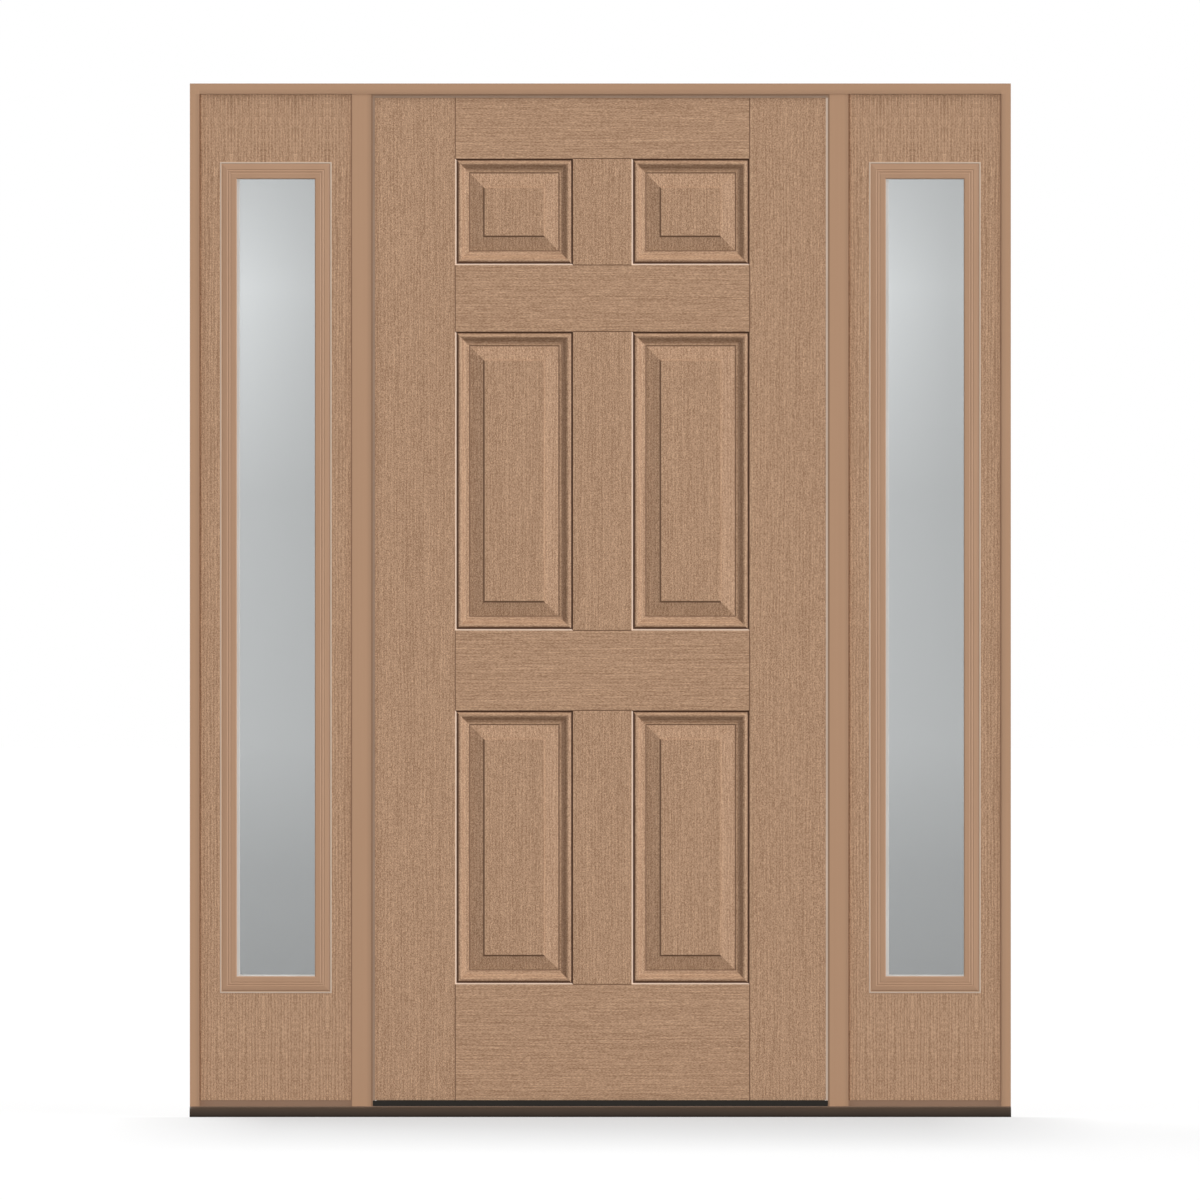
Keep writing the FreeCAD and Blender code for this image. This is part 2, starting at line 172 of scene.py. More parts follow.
# Satin paint: sizes of its brush lines and clouds and how strongly each shows, and painted shade beside some
# edges
BRUSH_SIZE = (3.0 * MM, 500.0 * MM)
CLOUD_SIZE = (120.0 * MM, 400.0 * MM)
PAINT_TONES = (0.06, 0.06)
PAINT_BUMP = (0.2 * MM, 0.12)
PAINT_ROUGHNESS = 0.42
PAINT_SWING = 0.12
PAINT_GLOSS = 0.3
FRAME_EDGE_REACH = 10.0 * MM
FRAME_EDGE_SHADE = 0.35
FRAME_EDGE_TONE = 0.5
# The stops are a darker copy of the frame paint, as painted shade
STOP_SHADE = 0.62

# Paint of the lite frames, and the sealant's duller bead
LITE_BRUSH_SIZE = (2.5 * MM, 400.0 * MM)
LITE_CLOUD_SIZE = (60.0 * MM, 240.0 * MM)
LITE_TONES = (0.16, 0.12)
LITE_BUMP = (0.2 * MM, 0.15)
LITE_ROUGHNESS = 0.45
SEALANT_ROUGHNESS = 0.6
LITE_GLOSS = 0.4

# Drawn metal and plastic: fine lines along it and patches of wear
DRAWN_LINE_SIZE = (0.9 * MM, 900.0 * MM)
WEAR_SIZE = (30.0 * MM, 70.0 * MM)
DRAWN_TONES = (0.25, 0.15)
DRAWN_BUMP = (0.15 * MM, 0.2)
DRAWN_SWING = 0.2

# Sill: tones by share of its height, painted shade darker at the floor up to a painted highlight on the
# arris, and its worn patches
SILL_PAINTED_TONES = ((0.12, 0.37), (0.22, 0.60), (0.62, 0.95), (0.90, 1.33), (0.95, 4.0))
SILL_WEAR = 0.16
SILL_WORN_TONE = 1.8
SILL_ROUGHNESS = 0.5
SILL_GLOSS = 0.08

# Foam and rubber: broad unevenness, and how strongly the speckle and it show
SOFT_CLOUD_SIZE = (40.0 * MM, 160.0 * MM)
SOFT_TONES = (0.35, 0.3)
SOFT_BUMP = (0.3 * MM, 0.3)
SOFT_GLOSS = 0.25
SEAL_SPECKLE = 0.8 * MM
RUBBER_SPECKLE = 1.2 * MM
CORE_SPECKLE = 1.5 * MM
GLAZING_SPECKLE = 0.6 * MM

# Brushed steel of the hinges
BRUSHED_LINE_SIZE = (0.35 * MM, 30.0 * MM)
BRUSHED_CLOUD_SIZE = (14.0 * MM, 40.0 * MM)
BRUSHED_TONES = (0.3, 0.3)
BRUSHED_BUMP = (0.05 * MM, 0.25)
BRUSHED_SWING = 0.2

# Glass: faint ripples and the faintest haze
RIPPLE_SIZE = (180.0 * MM, 260.0 * MM)
RIPPLE_BUMP = (0.2 * MM, 0.1)
HAZE_SIZE = (30.0 * MM, 60.0 * MM)
HAZE_ROUGHNESS = 0.02
GLASS_IOR = 1.5

# Glazing seals: section as share of the width and height over the glass; widths left, right, below and above,
# wider on the left and below as a painted highlight along the glass's edge
SEAL_SECTION = ((0.0, 0.05 * MM), (0.0, 2.4 * MM), (0.55, 1.6 * MM), (0.85, 1.0 * MM), (1.0, 0.05 * MM))
OUTSIDE_SEAL_WIDTHS = (6.3 * MM, 0.4 * MM, 3.2 * MM, 0.6 * MM)
INSIDE_SEAL_WIDTHS = (2.0 * MM, 0.3 * MM, 2.0 * MM, 0.4 * MM)

# Hinge screws: radius and height up the head, with the waist between the recess's arms, and places on a plate
SCREW_SIDES = 16
RECESS_ARMS = 4
SCREW_PROFILE = (
    (4.3 * MM, 0.0),
    (4.2 * MM, 0.35 * MM),
    (3.4 * MM, 0.75 * MM),
    (2.3 * MM, 0.9 * MM),
    (2.0 * MM, 0.9 * MM, 0.75 * MM),
    (1.7 * MM, 0.2 * MM, 0.6 * MM),
)
SCREW_PLACES = (
    (38.0 * MM, 9.0 * MM),
    (13.0 * MM, 20.0 * MM),
    (-13.0 * MM, 20.0 * MM),
    (-38.0 * MM, 9.0 * MM),
)

# Plugs over the screws of the inside lite frames: radius and height up a plug, and their places
PLUG_SIDES = 20
PLUG_PROFILE = ((4.8 * MM, -0.6 * MM), (4.8 * MM, 0.15 * MM), (4.3 * MM, 0.45 * MM), (2.2 * MM, 0.6 * MM))
PLUG_INSET = 22.5 * MM
PLUG_SINK = 0.2 * MM
PLUG_ROWS = 5

# Camera, at the photograph's scale
PHOTO_SCALE = 2.0 * MM
PHOTO_PIXELS = 1200
CAMERA_LENS = 600.0
CAMERA_SENSOR = 36.0
CAMERA_X = -0.7 * MM
CAMERA_Z = 1033.4 * MM

# Light: the key casts soft shadows from the left, the fill models the panels from the right without
# shadows, and another light falls on the inside
KEY_DIRECTION = (-0.95, -1.0, 0.9)
KEY_STRENGTH = 0.6
KEY_ANGLE = math.radians(50)
FILL_DIRECTION = (1.40, -1.0, 0.80)
FILL_STRENGTH = 2.98
BACK_DIRECTION = (-0.35, 1.0, 0.7)
BACK_STRENGTH = 1.8
BACK_ANGLE = math.radians(40)
AMBIENT = 0.355

# Floor, and a painted shadow: its softer glow close in front of the sill
FLOOR_SIZE = 200.0
FLOOR_DROP = 0.5 * MM
FLOOR_GREY = 0.22
FLOOR_GLOW = 0.76
CONTACT_REACH = 2.6
CONTACT_SIDE = 0.35
CONTACT_SHADE = 0.26

# Grey card behind the glass, glowing and seen only through it, that paints the glass's lighter and darker
# tones: tones by share of its height, behind the right and the left edge of a lite
CARD_WIDTH = 6.4
CARD_HEIGHT = 2.4
CARD_BEHIND = 1.25
CARD_FOOT = 0.24
CARD_SIDE = 0.9
CARD_COOL = (0.985, 1.0, 1.01)
CARD_RIGHT_TONES = ((0.10, 0.222), (0.20, 0.27), (0.31, 0.38), (0.52, 0.375), (0.70, 0.47), (0.80, 0.40))
CARD_LEFT_TONES = ((0.10, 0.233), (0.20, 0.29), (0.31, 0.42), (0.52, 0.445), (0.70, 0.665), (0.80, 0.485))


class Graph:
    """Short calls for building the nodes of one material or world."""

    def __init__(self, tree):
        self.tree = tree
        tree.nodes.clear()

    def feed(self, socket, value):
        if isinstance(value, bpy.types.NodeSocket):
            self.tree.links.new(value, socket)
        elif value is not None:
            socket.default_value = value

    def node(self, kind, inputs=(), **settings):
        made = self.tree.nodes.new(kind)
        for name, value in settings.items():
            setattr(made, name, value)
        for name, value in dict(inputs).items():
            self.feed(made.inputs[name], value)
        return made

    def math(self, operation, first, second=None, clamp=False):
        made = self.node("ShaderNodeMath", operation=operation, use_clamp=clamp)
        self.feed(made.inputs[0], first)
        self.feed(made.inputs[1], second)
        return made.outputs[0]

    def largest(self, values):
        result = values[0]
        for value in values[1:]:
            result = self.math("MAXIMUM", result, value)
        return result

    def about(self, middle, layer, swing):
        """middle where a layer is at its average of 0.5, and up to half a swing away elsewhere."""
        return self.math("ADD", self.math("MULTIPLY", layer, swing), middle - swing / 2)

    def blend(self, factor, first, second):
        """first where the factor is 0, second where it is 1, for numbers."""
        made = self.node("ShaderNodeMix", data_type="FLOAT")
        for socket, value in zip((made.inputs[0], made.inputs[2], made.inputs[3]), (factor, first, second)):
            self.feed(socket, value)
        return made.outputs[0]

    def tint(self, factor, first, second):
        """first where the factor is 0, second where it is 1, for colours."""
        made = self.node("ShaderNodeMix", data_type="RGBA")
        for socket, value in zip((made.inputs[0], made.inputs[6], made.inputs[7]), (factor, first, second)):
            self.feed(socket, rgba(value))
        return made.outputs[2]

    def ramp(self, value, stops):
        """Colours at places along a value from 0 to 1, blended evenly between them."""
        made = self.node("ShaderNodeValToRGB", {"Fac": value})
        elements = made.color_ramp.elements
        while len(elements) < len(stops):
            elements.new(0.5)
        for element, (place, colour) in zip(elements, stops):
            element.position = place
            element.color = rgba(colour)
        return made.outputs["Color"]

    def place(self):
        """The point's X, Y and Z in the model's frame."""
        coordinates = self.node("ShaderNodeTexCoord").outputs["Object"]
        split = self.node("ShaderNodeSeparateXYZ", {"Vector": coordinates})
        return split.outputs["X"], split.outputs["Y"], split.outputs["Z"]

    def noise(self, across, depth, along, size, detail=PLAIN_DETAIL):
        """Noise with marks of a width and length, running along one direction."""
        width, length = size
        steps = ((across, width), (depth, width), (along, length))
        scaled = [self.math("DIVIDE", value, step) for value, step in steps]
        vector = self.node("ShaderNodeCombineXYZ", zip("XYZ", scaled)).outputs["Vector"]
        inputs = {"Vector": vector, "Scale": 1.0, "Detail": detail, "Roughness": NOISE_ROUGHNESS}
        return self.node("ShaderNodeTexNoise", inputs).outputs["Fac"]

    def within(self, value, limits):
        """1 between two limits and 0 elsewhere."""
        past = self.math("GREATER_THAN", value, limits[0])
        return self.math("MULTIPLY", past, self.math("LESS_THAN", value, limits[1]))

    def beside(self, value, places, reach):
        """1 at any of some places, falling to 0 at a distance from them."""
        falls = []
        for place in places:
            off = self.math("ABSOLUTE", self.math("SUBTRACT", value, place))
            falls.append(self.math("SUBTRACT", 1.0, self.math("DIVIDE", off, reach), clamp=True))
        return self.largest(falls)

    def bump(self, height, distance, strength):
        inputs = {"Height": height, "Distance": distance, "Strength": strength}
        return self.node("ShaderNodeBump", inputs).outputs["Normal"]

    def surface(self, shader):
        self.node("ShaderNodeOutputMaterial", {"Surface": shader})


def rgba(value):
    """A colour with its alpha; sockets and numbers pass through."""
    if isinstance(value, tuple) and len(value) == 3:
        return (*value, 1.0)
    return value


def toned(colour, factors):
    """A colour with each channel times its own factor."""
    return tuple(min(1.0, channel * factor) for channel, factor in zip(colour, factors))


def shade(colour, factor):
    """A colour with every channel times the same factor."""
    return toned(colour, (factor, factor, factor))


def new_material(name):
    material = bpy.data.materials.new(name)
    material.use_nodes = True
    return material, Graph(material.node_tree)


def principled(graph, colour, roughness, normal, constants):
    """A Principled surface; constants are set on the shader's own sockets."""
    inputs = {"Base Color": rgba(colour), "Roughness": roughness, "Normal": normal}
    inputs.update(constants)
    shader = graph.node("ShaderNodeBsdfPrincipled", inputs)
    graph.surface(shader.outputs["BSDF"])


def limits_along(axis, boxes):
    """The lowest and highest place of each of some boxes along one axis."""
    return [(getattr(low, axis), getattr(high, axis)) for low, high in boxes]


def spans(start, sizes):
    """The limits of every second size in a run of sizes: the panels between stiles or rails."""
    limits = [start]
    for size in sizes:
        limits.append(limits[-1] + size)
    return list(zip(limits[1::2], limits[2::2]))


def panel_layout():
    """The limits in X and in Z of the leaf's panels."""
    low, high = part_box("door_outside_skin")
    panel_width = (high.x - low.x - LATCH_STILE - CENTRE_STILE - HINGE_STILE) / 2
    rails = BOTTOM_RAIL + LOCK_RAIL + FRIEZE_RAIL + TOP_RAIL
    middle_panel = high.z - low.z - rails - BOTTOM_PANEL - TOP_PANEL
    columns = spans(low.x, [LATCH_STILE, panel_width, CENTRE_STILE, panel_width])
    rows = spans(low.z, [BOTTOM_RAIL, BOTTOM_PANEL, LOCK_RAIL, middle_panel, FRIEZE_RAIL, TOP_PANEL])
    return columns, rows


def distance_inside(graph, value, limits):
    """How far a coordinate lies inside the nearest of several spans; negative between them."""
    inside = []
    for low, high in limits:
        off_centre = graph.math("ABSOLUTE", graph.math("SUBTRACT", value, (low + high) / 2))
        inside.append(graph.math("SUBTRACT", (high - low) / 2, off_centre))
    return graph.largest(inside)


def offset_from_nearest(graph, value, limits):
    """How far a coordinate lies past the middle of the nearest of several spans."""
    middles = [(low + high) / 2 for low, high in limits]
    offset = graph.math("SUBTRACT", value, middles[0])
    for before, after, middle in zip(limits, limits[1:], middles[1:]):
        past = graph.math("GREATER_THAN", value, (before[1] + after[0]) / 2)
        offset = graph.blend(past, offset, graph.math("SUBTRACT", value, middle))
    return offset


def joint_lines(graph, across, upward, between_stiles):
    """1 in the fine lines between stiles and rails, and between rails and the centre stile."""
    line = (-JOINT_LINE / 2, JOINT_LINE / 2)
    in_rail = graph.math("LESS_THAN", upward, 0.0)
    upright_joint = graph.math("MULTIPLY", graph.within(between_stiles, line), in_rail)
    in_middle = graph.math("GREATER_THAN", between_stiles, 0.0)
    in_centre_stile = graph.math("MULTIPLY", graph.math("LESS_THAN", across, 0.0), in_middle)
    level_joint = graph.math("MULTIPLY", graph.within(upward, line), in_centre_stile)
    return graph.math("MAXIMUM", upright_joint, level_joint)


def level_grain(graph, upward, between_stiles, level_side):
    """1 where the grain runs level: on the rails and on the level mouldings round the panels."""
    in_rail = graph.math("LESS_THAN", upward, 0.0)
    in_sticking = graph.math("LESS_THAN", upward, STICKING_END)
    level = graph.math("MAXIMUM", in_rail, graph.math("MULTIPLY", in_sticking, level_side))
    return graph.math("MULTIPLY", level, graph.math("GREATER_THAN", between_stiles, 0.0))


def moulding_map(graph, x, z):
    """Masks of the leaf's face: level grain, distance into a panel, a panel's level sides, its right and
    top sides, and joint lines."""
    columns, rows = panel_layout()
    across = distance_inside(graph, x, columns)
    upward = distance_inside(graph, z, rows)
    between_stiles = distance_inside(graph, x, [(columns[0][0], columns[-1][1])])
    level_side = graph.math("LESS_THAN", upward, across)
    level = level_grain(graph, upward, between_stiles, level_side)
    right = graph.math("GREATER_THAN", offset_from_nearest(graph, x, columns), 0.0)
    top = graph.math("GREATER_THAN", offset_from_nearest(graph, z, rows), 0.0)
    far_side = graph.blend(level_side, right, top)
    joint = joint_lines(graph, across, upward, between_stiles)
    return level, graph.math("MINIMUM", across, upward), level_side, far_side, joint


def grain(graph, across, depth, along):
    """Pores, streaks, lines, bands and combed lines of a stained grain, each about 0.5 on average."""
    sway = graph.noise(across, depth, along, SWAY_SIZE)
    across = graph.math("ADD", across, graph.math("MULTIPLY", sway, SWAY_SWING))
    depth = graph.math("ADD", depth, graph.math("MULTIPLY", across, GRAIN_TILT))
    sizes = (PORE_SIZE, STREAK_SIZE, LINE_SIZE, BAND_SIZE)
    layers = [graph.noise(across, depth, along, size) for size in sizes]
    wander = graph.math("MULTIPLY", graph.noise(across, depth, along, COMB_WANDER), COMB_SWING)
    turns = graph.math("MULTIPLY", graph.math("ADD", across, wander), 2 * math.pi / COMB_STEP)
    comb = graph.math("ADD", graph.math("MULTIPLY", graph.math("SINE", turns), 0.5), 0.5)
    return layers + [comb]


def weighted(graph, layers, weights):
    """0.5 plus each layer's swing about 0.5, times its weight."""
    total = 0.5 * (1 - sum(weights))
    for layer, weight in zip(layers, weights):
        total = graph.math("ADD", graph.math("MULTIPLY", layer, weight), total)
    return total


def stained(graph, tone, colour):
    """A colour that goes from its darkest to its palest with the grain's tone."""
    stops = ((0.0, toned(colour, GRAIN_DARK)), (0.5, colour), (1.0, toned(colour, GRAIN_PALE)))
    return graph.ramp(tone, stops)


def grained_colour(graph, layers, weights, colour):
    return stained(graph, weighted(graph, layers, weights), colour)


def grained_surface(graph, colour, layers):
    """Satin stain over the grain, with the pores a little open and the streaks a little smoother."""
    streaks = layers[1]
    roughness = graph.about(STAIN_ROUGHNESS, streaks, STAIN_SWING)
    normal = graph.bump(weighted(graph, layers, STAIN_RELIEF), *STAIN_BUMP)
    principled(graph, colour, roughness, normal, {"Specular IOR Level": STAIN_GLOSS})


def painted_moulding_light(graph, colour, inset, level_side, far_side, joint):
    """Painted highlights on the arrises and painted shade on the bevels at the left and bottom of each panel,
    painted shade on the ovolos at its right and top, and painted shade in the quirks and fine lines; the fine
    lines also darken the joints."""
    near_side = graph.math("SUBTRACT", 1.0, far_side)
    bevel = graph.math("MULTIPLY", near_side, graph.within(inset, (STICKING_END, FIELD_LINE[0])))
    ovolo = graph.math("MULTIPLY", far_side, graph.within(inset, SHADED_OVOLO))
    ovolo_shade = graph.blend(level_side, UPRIGHT_OVOLO_SHADE, LEVEL_OVOLO_SHADE)
    arris = graph.math("MULTIPLY", near_side, graph.within(inset, (0.0, ARRIS_END)))
    near_quirk = graph.math("MULTIPLY", near_side, graph.within(inset, (ARRIS_END, QUIRK_END)))
    far_quirk = graph.math("MULTIPLY", far_side, graph.within(inset, (0.0, SHADED_QUIRK_END)))
    field_line = graph.math("MULTIPLY", near_side, graph.within(inset, FIELD_LINE))
    fine_lines = graph.largest([field_line, graph.within(inset, FILLET_LINE), joint])

    # Painted shade on the near bevels and far ovolos, a painted highlight on the near arrises, and painted
    # shade in the quirks and fine lines, which also darken the joints
    colour = graph.tint(graph.math("MULTIPLY", bevel, BEVEL_SHADE), colour, SHADE_AND_JOINT_BROWN)
    colour = graph.tint(graph.math("MULTIPLY", ovolo, ovolo_shade), colour, SHADE_AND_JOINT_BROWN)
    colour = graph.tint(arris, colour, PAINTED_HIGHLIGHT_PALE)
    colour = graph.tint(graph.math("MAXIMUM", near_quirk, far_quirk), colour, PAINTED_SHADE_DARK)
    return graph.tint(graph.math("MULTIPLY", fine_lines, LINE_SHADE_AND_JOINT), colour, SHADE_AND_JOINT_BROWN)


def door_skin_material():
    """Grain that runs up the stiles and panels and along the rails, with painted highlights and shade in the
    mouldings.
    """
    material, graph = new_material("door_skin_grain")
    x, y, z = graph.place()
    level, *mouldings = moulding_map(graph, x, z)
    across = graph.blend(level, x, z)
    along = graph.blend(level, z, graph.math("DIVIDE", x, RAIL_STRETCH))
    depth = graph.math("ADD", y, graph.math("MULTIPLY", level, RAIL_SLICE))
    layers = grain(graph, across, depth, along)
    tones = [weighted(graph, layers, weights) for weights in (UPRIGHT_GRAIN, RAIL_GRAIN)]
    colour = stained(graph, graph.blend(level, *tones), SKIN_TAN)
    grained_surface(graph, painted_moulding_light(graph, colour, *mouldings), layers)
    return material


def sidelight_material():
    """The same stain on the sidelights, with matched grain and a thin painted shade line down the right
    edges.
    """
    material, graph = new_material("sidelight_grain")
    x, y, z = graph.place()
    boxes = [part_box(side + "_sidelight_panel") for side in SIDES]
    aside = offset_from_nearest(graph, x, limits_along("x", boxes))
    matched = graph.math("PINGPONG", graph.math("ADD", aside, MATCH_OFFSET), MATCH_STEP)
    layers = grain(graph, matched, y, z)
    colour = grained_colour(graph, layers, SIDELIGHT_GRAIN, SKIN_TAN)
    # Painted shade: a thin dark line down each panel's right edge
    edge = graph.beside(x, [high.x for _, high in boxes], PANEL_EDGE_REACH)
    grained_surface(graph, graph.tint(edge, colour, SHADE_AND_JOINT_BROWN), layers)
    return material


def leaf_edge_material(name, level):
    """Stained solid edges of the leaf; the grain runs along the edge."""
    material, graph = new_material(name)
    x, y, z = graph.place()
    across, along = (z, x) if level else (x, z)
    layers = grain(graph, across, y, along)
    grained_surface(graph, grained_colour(graph, layers, EDGE_GRAIN, EDGE_TAN), layers)
    return material


def paint_material(name, colour, level=False, painted_shade_edges=(), edge_top=None):
    """Smooth satin paint with faint brush lines along the piece, and painted shade beside some edges. The
    painted shade stops at edge_top, where one is given."""
    material, graph = new_material(name)
    x, y, z = graph.place()
    across, along = (z, x) if level else (x, z)
    lines = graph.noise(across, y, along, BRUSH_SIZE)
    cloud = graph.noise(across, y, along, CLOUD_SIZE)
    varied = grained_colour(graph, (lines, cloud), PAINT_TONES, colour)
    # Painted shade beside the given edges
    if painted_shade_edges:
        edge = graph.beside(across, painted_shade_edges, FRAME_EDGE_REACH)
        if edge_top is not None:
            edge = graph.math("MULTIPLY", edge, graph.math("LESS_THAN", z, edge_top))
        edge = graph.math("MULTIPLY", edge, FRAME_EDGE_SHADE)
        varied = graph.tint(edge, varied, shade(colour, FRAME_EDGE_TONE))
    roughness = graph.about(PAINT_ROUGHNESS, cloud, PAINT_SWING)
    normal = graph.bump(lines, *PAINT_BUMP)
    principled(graph, varied, roughness, normal, {"Specular IOR Level": PAINT_GLOSS})
    return material


def lite_map(graph, x, z):
    """Masks of the lite frames: distance in from the outer edge, level sides, and sides in shade."""
    boxes = [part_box(side + "_lite_frame_outside") for side in SIDES]
    columns = limits_along("x", boxes)
    rows = limits_along("z", boxes[:1])
    across = distance_inside(graph, x, columns)
    upward = distance_inside(graph, z, rows)
    level = graph.math("LESS_THAN", upward, graph.math("MINIMUM", across, LITE_BORDER))
    right = graph.math("GREATER_THAN", offset_from_nearest(graph, x, columns), 0.0)
    bottom = graph.math("LESS_THAN", offset_from_nearest(graph, z, rows), 0.0)
    return graph.math("MINIMUM", across, upward), level, graph.blend(level, right, bottom)


def lite_frame_material():
    """Smooth satin paint with a pale bead of sealant round the outer edge and painted shade in the groove
    beside it on the right and bottom.
    """
    material, graph = new_material("lite_frame_paint")
    x, y, z = graph.place()
    inset, level, shaded_side = lite_map(graph, x, z)
    lines = graph.noise(graph.blend(level, x, z), y, graph.blend(level, z, x), LITE_BRUSH_SIZE)
    cloud = graph.noise(x, y, z, LITE_CLOUD_SIZE)
    colour = grained_colour(graph, (lines, cloud), LITE_TONES, LITE_TAN)
    # Painted shade in the groove on the right and bottom sides
    groove = graph.math("MULTIPLY", shaded_side, graph.within(inset, LITE_GROOVE))
    colour = graph.tint(graph.math("MULTIPLY", groove, GROOVE_SHADE), colour, SHADE_AND_JOINT_BROWN)
    bead = graph.math("LESS_THAN", inset, SEALANT_WIDTH)
    colour = graph.tint(bead, colour, SEALANT_PALE)
    roughness = graph.blend(bead, LITE_ROUGHNESS, SEALANT_ROUGHNESS)
    normal = graph.bump(lines, *LITE_BUMP)
    principled(graph, colour, roughness, normal, {"Specular IOR Level": LITE_GLOSS})
    return material


def drawn_marks(graph, x, y, z):
    """Fine lines along X, and patches of wear."""
    lines = graph.noise(y, z, x, DRAWN_LINE_SIZE, FINE_DETAIL)
    wear = graph.noise(y, z, x, WEAR_SIZE, PATCHY_DETAIL)
    return lines, wear


def extruded_material(name, colour, roughness, metal=0.0, gloss=0.5):
    """Drawn metal or plastic with fine lines along X."""
    material, graph = new_material(name)
    lines, wear = drawn_marks(graph, *graph.place())
    varied = grained_colour(graph, (lines, wear), DRAWN_TONES, colour)
    varied_roughness = graph.about(roughness, wear, DRAWN_SWING)
    normal = graph.bump(lines, *DRAWN_BUMP)
    principled(graph, varied, varied_roughness, normal, {"Metallic": metal, "Specular IOR Level": gloss})
    return material


def sill_material():
    """Bronze paint with painted shade darker towards the floor and a painted highlight along the sill's top
    arris.
    """
    material, graph = new_material("sill_bronze_finish")
    x, y, z = graph.place()
    height = graph.math("DIVIDE", z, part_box("sill")[1].z)
    # Painted shade darker towards the floor and a painted highlight along the top arris
    colour = graph.ramp(height, [(place, shade(SILL_BRONZE, tone)) for place, tone in SILL_PAINTED_TONES])
    lines, wear = drawn_marks(graph, x, y, z)
    worn = graph.math("MULTIPLY", wear, SILL_WEAR)
    colour = graph.tint(worn, colour, shade(SILL_BRONZE, SILL_WORN_TONE))
    roughness = graph.about(SILL_ROUGHNESS, wear, DRAWN_SWING)
    normal = graph.bump(lines, *DRAWN_BUMP)
    principled(graph, colour, roughness, normal, {"Specular IOR Level": SILL_GLOSS})
    return material


def soft_material(name, colour, speckle, roughness=0.8):
    """Foam or rubber with a fine closed-cell speckle."""
    material, graph = new_material(name)
    x, y, z = graph.place()
    cells = graph.noise(x, y, z, (speckle, speckle), FINE_DETAIL)
    cloud = graph.noise(x, y, z, SOFT_CLOUD_SIZE)
    varied = grained_colour(graph, (cells, cloud), SOFT_TONES, colour)
    normal = graph.bump(cells, *SOFT_BUMP)
    principled(graph, varied, roughness, normal, {"Specular IOR Level": SOFT_GLOSS})
    return material


def brushed_material(name, colour, roughness):
    """Satin metal brushed upwards."""
    material, graph = new_material(name)
    x, y, z = graph.place()
    lines = graph.noise(x, y, z, BRUSHED_LINE_SIZE, FINE_DETAIL)
    cloud = graph.noise(x, y, z, BRUSHED_CLOUD_SIZE, FINE_DETAIL)
    varied = grained_colour(graph, (lines, cloud), BRUSHED_TONES, colour)
    varied_roughness = graph.about(roughness, lines, BRUSHED_SWING)
    normal = graph.bump(lines, *BRUSHED_BUMP)
    principled(graph, varied, varied_roughness, normal, {"Metallic": 1.0})
    return material


def glass_material():
    """Clear float glass with the faintest unevenness."""
    material, graph = new_material("clear_glass")
    x, y, z = graph.place()
    normal = graph.bump(graph.noise(x, y, z, RIPPLE_SIZE), *RIPPLE_BUMP)
    haze = graph.math("MULTIPLY", graph.noise(x, y, z, HAZE_SIZE, PATCHY_DETAIL), HAZE_ROUGHNESS)
    principled(graph, GLASS_CLEAR, haze, normal, {"Transmission Weight": 1.0, "IOR": GLASS_IOR})
    return material


def upright_paint():
    """The frame's paint, with painted shade at the jambs' inner edges and the mullions' right-hand edges."""
    edges = [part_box("left_jamb")[1].x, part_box("right_jamb")[0].x]
    edges += [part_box(side + "_mullion")[1].x for side in SIDES]
    head_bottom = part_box("head_jamb")[0].z
    return paint_material("frame_paint_upright", FRAME_TAN, painted_shade_edges=edges, edge_top=head_bottom)


def slot_materials():
    """The finish of each material slot in the record."""
    return {
        "grained_skin": door_skin_material(),
        "leaf_edge": leaf_edge_material("leaf_edge_upright", level=False),
        "frame_paint": upright_paint(),
        "lite_frame": lite_frame_material(),
        # Painted shade: the base strips are a darker copy of the frame paint
        "base_brown": paint_material("base_painted_shade", BASE_SHADED_BROWN, level=True),
        "sill_bronze": sill_material(),
        "threshold_black": extruded_material("threshold_finish", THRESHOLD_BLACK, roughness=0.6, gloss=0.12),
        # Painted light: the right seal is a paler copy of the seals' foam
        "door_seal": soft_material("door_seal_painted_light", SEAL_LIT_PALE, SEAL_SPECKLE),
        "sweep_rubber": soft_material("sweep_rubber_finish", RUBBER_BLACK, RUBBER_SPECKLE, roughness=0.65),
        "glass": glass_material(),
        "spacer": extruded_material("spacer_metal", SPACER_GREY, roughness=0.4, metal=0.8),
        "hinge_steel": brushed_material("hinge_satin_steel", HINGE_STEEL, roughness=0.34),
        "core_foam": soft_material("core_foam_cells", FOAM_CREAM, CORE_SPECKLE),
    }


def finish_cad_nodes(materials):
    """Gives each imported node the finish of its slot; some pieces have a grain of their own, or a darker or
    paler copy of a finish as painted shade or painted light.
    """
    by_node = {row["node"]: materials[row["material_slot"]] for row in frame["record"]["subparts"]}
    head_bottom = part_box("head_jamb")[0].z
    head_paint = paint_material("frame_paint_level", FRAME_TAN, level=True, painted_shade_edges=[head_bottom])
    # Painted shade: the stops are a darker copy of the frame paint
    stop_painted_shade = paint_material("stop_painted_shade", shade(FRAME_TAN, STOP_SHADE))
    # Painted shade: the left and head seals are a darker copy of the right seal's foam
    shaded_seal = soft_material("door_seal_painted_shade", SEAL_SHADED_BROWN, SEAL_SPECKLE)
    level_edge = leaf_edge_material("leaf_edge_level", level=True)
    panel_grain = sidelight_material()
    by_node.update({
        "head_jamb": head_paint,
        "head_door_stop": stop_painted_shade,
        "left_door_stop": stop_painted_shade,
        "right_door_stop": stop_painted_shade,
        "head_door_seal": shaded_seal,
        "left_door_seal": shaded_seal,
        "door_top_edge": level_edge,
        "door_bottom_edge": level_edge,
        "left_sidelight_panel": panel_grain,
        "right_sidelight_panel": panel_grain,
    })
    for name, material in by_node.items():
        slots = frame["nodes"][name].data.materials
        slots.clear()
        slots.append(material)


